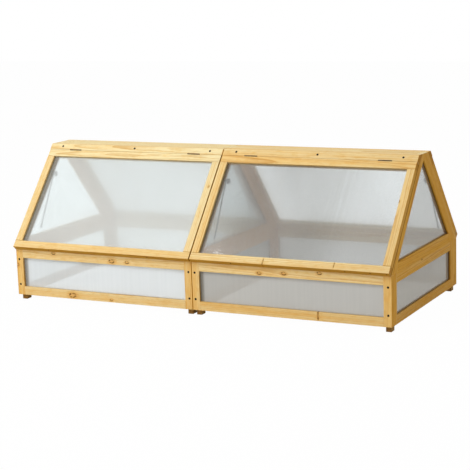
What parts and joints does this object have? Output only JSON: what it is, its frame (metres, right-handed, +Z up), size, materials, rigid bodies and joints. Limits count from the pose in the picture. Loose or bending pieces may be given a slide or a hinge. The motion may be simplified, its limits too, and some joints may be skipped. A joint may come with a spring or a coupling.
{
  "type": "wooden mini greenhouse",
  "caption": "Low wooden mini greenhouse of side-by-side modules with a steep glazed roof of top-hinged lids, translucent twin-wall sheets and swinging lid stays.",
  "frame": {"origin": "middle of the footprint on the ground that the feet stand on", "axes": "+X along the width, +Z up, the front faces -Y"},
  "size_m": [1.8, 0.8662, 0.67],
  "materials": {
    "timber": "planed and oiled softwood",
    "foot_timber": "darker softwood blocks",
    "twin_wall_sheet": "translucent ribbed twin-wall sheet",
    "hinge_steel": "galvanised",
    "stay_steel": "dark, satin",
    "screw_steel": "dark passivated"
  },
  "bodies": {
    "frame": {"left_box_front_posts": "timber", "left_box_front_rails": "timber", "left_box_front_sheet": "twin_wall_sheet", "left_box_back_posts": "timber", "left_box_back_rails": "timber", "left_box_back_sheet": "twin_wall_sheet", "left_box_side_stiles": "timber", "left_box_side_rails": "timber", "left_box_side_sheets": "twin_wall_sheet", "left_gable_front_legs": "timber", "left_gable_rear_legs": "timber", "left_gable_rails": "timber", "left_gable_sheets": "twin_wall_sheet", "left_ridge_beam": "timber", "left_ridge_strips": "timber", "right_box_front_posts": "timber", "right_box_front_rails": "timber", "right_box_front_sheet": "twin_wall_sheet", "right_box_back_posts": "timber", "right_box_back_rails": "timber", "right_box_back_sheet": "twin_wall_sheet", "right_box_side_stiles": "timber", "right_box_side_rails": "timber", "right_box_side_sheets": "twin_wall_sheet", "right_gable_front_legs": "timber", "right_gable_rear_legs": "timber", "right_gable_rails": "timber", "right_gable_sheets": "twin_wall_sheet", "right_ridge_beam": "timber", "right_ridge_strips": "timber", "feet": "foot_timber", "hinge_fixed_leaves": "hinge_steel", "hinge_pins": "hinge_steel", "stay_brackets": "stay_steel", "frame_screws": "screw_steel", "ridge_screws": "screw_steel"},
    "left_front_lid": {"left_front_lid_top_rail": "timber", "left_front_lid_bottom_rail": "timber", "left_front_lid_stiles": "timber", "left_front_lid_sheet": "twin_wall_sheet", "left_front_lid_hinge_leaves": "hinge_steel"},
    "left_front_stay": {"left_front_stay_rod": "stay_steel"},
    "left_rear_lid": {"left_rear_lid_top_rail": "timber", "left_rear_lid_bottom_rail": "timber", "left_rear_lid_stiles": "timber", "left_rear_lid_sheet": "twin_wall_sheet", "left_rear_lid_hinge_leaves": "hinge_steel"},
    "left_rear_stay": {"left_rear_stay_rod": "stay_steel"},
    "right_front_lid": {"right_front_lid_top_rail": "timber", "right_front_lid_bottom_rail": "timber", "right_front_lid_stiles": "timber", "right_front_lid_sheet": "twin_wall_sheet", "right_front_lid_hinge_leaves": "hinge_steel"},
    "right_front_stay": {"right_front_stay_rod": "stay_steel"},
    "right_rear_lid": {"right_rear_lid_top_rail": "timber", "right_rear_lid_bottom_rail": "timber", "right_rear_lid_stiles": "timber", "right_rear_lid_sheet": "twin_wall_sheet", "right_rear_lid_hinge_leaves": "hinge_steel"},
    "right_rear_stay": {"right_rear_stay_rod": "stay_steel"}
  },
  "joints": [
    {"name": "left_front_lid_hinge", "type": "hinge", "parent": "frame", "child": "left_front_lid", "pos_m": [-0.45, -0.09372, 0.64654], "axis": [-1, 0, 0], "range_deg": [0, 55]},
    {"name": "left_front_stay_pivot", "type": "hinge", "parent": "frame", "child": "left_front_stay", "pos_m": [-0.8687, -0.12209, 0.53566], "axis": [-1, 0, 0], "range_deg": [0, 85.2]},
    {"name": "left_rear_lid_hinge", "type": "hinge", "parent": "frame", "child": "left_rear_lid", "pos_m": [-0.45, 0.09372, 0.64654], "axis": [1, 0, 0], "range_deg": [0, 55]},
    {"name": "left_rear_stay_pivot", "type": "hinge", "parent": "frame", "child": "left_rear_stay", "pos_m": [-0.0313, 0.12209, 0.53566], "axis": [1, 0, 0], "range_deg": [0, 85.2]},
    {"name": "right_front_lid_hinge", "type": "hinge", "parent": "frame", "child": "right_front_lid", "pos_m": [0.45, -0.09372, 0.64654], "axis": [-1, 0, 0], "range_deg": [0, 55]},
    {"name": "right_front_stay_pivot", "type": "hinge", "parent": "frame", "child": "right_front_stay", "pos_m": [0.0313, -0.12209, 0.53566], "axis": [-1, 0, 0], "range_deg": [0, 85.2]},
    {"name": "right_rear_lid_hinge", "type": "hinge", "parent": "frame", "child": "right_rear_lid", "pos_m": [0.45, 0.09372, 0.64654], "axis": [1, 0, 0], "range_deg": [0, 55]},
    {"name": "right_rear_stay_pivot", "type": "hinge", "parent": "frame", "child": "right_rear_stay", "pos_m": [0.8687, 0.12209, 0.53566], "axis": [1, 0, 0], "range_deg": [0, 85.2]}
  ],
  "couplings": [
    {"joint": "left_front_stay_pivot", "follows": "left_front_lid_hinge", "ratio": 1.5485},
    {"joint": "left_rear_stay_pivot", "follows": "left_rear_lid_hinge", "ratio": 1.5485},
    {"joint": "right_front_stay_pivot", "follows": "right_front_lid_hinge", "ratio": 1.5485},
    {"joint": "right_rear_stay_pivot", "follows": "right_rear_lid_hinge", "ratio": 1.5485}
  ]
}
